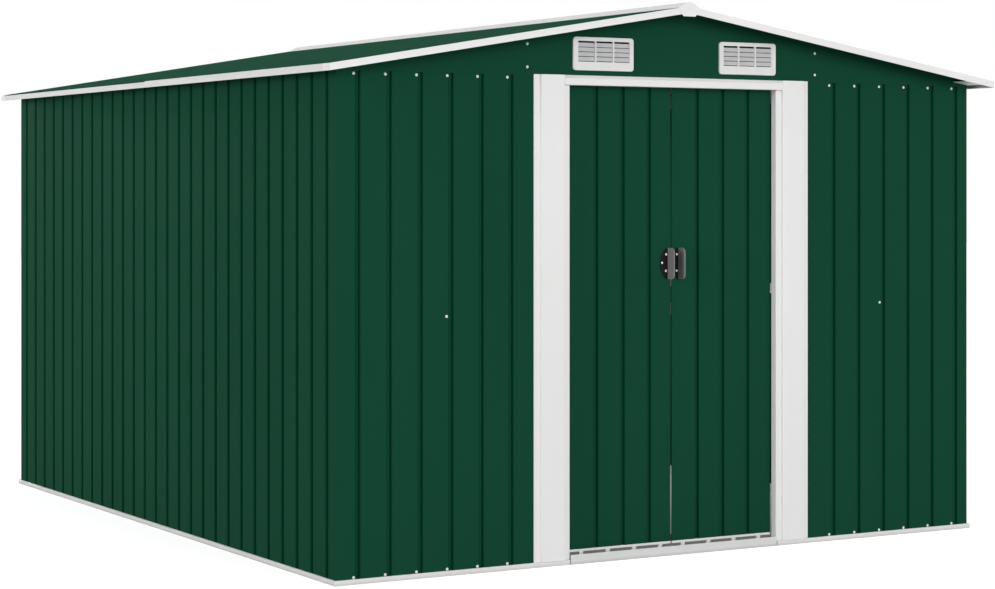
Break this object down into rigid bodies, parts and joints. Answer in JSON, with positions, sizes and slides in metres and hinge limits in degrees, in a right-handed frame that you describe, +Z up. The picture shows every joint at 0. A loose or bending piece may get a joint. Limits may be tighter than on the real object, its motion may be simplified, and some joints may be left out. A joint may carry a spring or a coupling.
{
  "type": "metal storage shed",
  "caption": "Metal garden shed with grooved green sheet walls, low gable roof, white trims, louvred gable vents and hung double sliding doors.",
  "frame": {"origin": "on the ground, under the middle of the shed", "axes": "+Z up, doors face -Y, +X to the right seen from the front"},
  "size_m": [2.57, 2.98, 1.7835],
  "materials": {
    "white_trim": "satin",
    "green_sheet": "satin",
    "white_vent": "matte",
    "galvanised_frame": "zinc coated",
    "white_door_rail": "satin",
    "black_handle": "matte"
  },
  "bodies": {
    "shed": {"base_rail_front": "white_trim", "base_rail_rear": "white_trim", "base_rail_left": "white_trim", "base_rail_right": "white_trim", "door_sill": "white_trim", "door_jamb_left": "white_trim", "door_jamb_right": "white_trim", "door_head": "white_trim", "ridge_cap": "white_trim", "ridge_end_caps": "white_trim", "eave_trim_left": "white_trim", "eave_trim_right": "white_trim", "gable_trims_front": "white_trim", "gable_trims_rear": "white_trim", "eave_corner_caps": "white_trim", "corner_panel_front_left": "green_sheet", "corner_panel_front_right": "green_sheet", "corner_panel_rear_left": "green_sheet", "corner_panel_rear_right": "green_sheet", "front_wall_left": "green_sheet", "front_wall_right": "green_sheet", "left_wall": "green_sheet", "right_wall": "green_sheet", "rear_wall": "green_sheet", "front_gable": "green_sheet", "rear_gable": "green_sheet", "roof_left": "green_sheet", "roof_right": "green_sheet", "front_vents": "white_vent", "rear_vents": "white_vent", "top_rail_front": "galvanised_frame", "top_rail_rear": "galvanised_frame", "top_rail_left": "galvanised_frame", "top_rail_right": "galvanised_frame", "wall_mid_rails": "galvanised_frame", "upper_door_track": "galvanised_frame", "lower_door_track": "galvanised_frame", "ridge_beam": "galvanised_frame", "roof_purlins": "galvanised_frame"},
    "left_door": {"left_door_panel": "green_sheet", "left_door_rails": "white_door_rail", "left_door_handle": "black_handle"},
    "right_door": {"right_door_panel": "green_sheet", "right_door_rails": "white_door_rail", "right_door_handle": "black_handle"}
  },
  "joints": [
    {"name": "left_door_slide", "type": "slide", "parent": "shed", "child": "left_door", "axis": [-1, 0, 0], "range_m": [0, 0.35]},
    {"name": "right_door_slide", "type": "slide", "parent": "shed", "child": "right_door", "axis": [1, 0, 0], "range_m": [0, 0.35]}
  ]
}
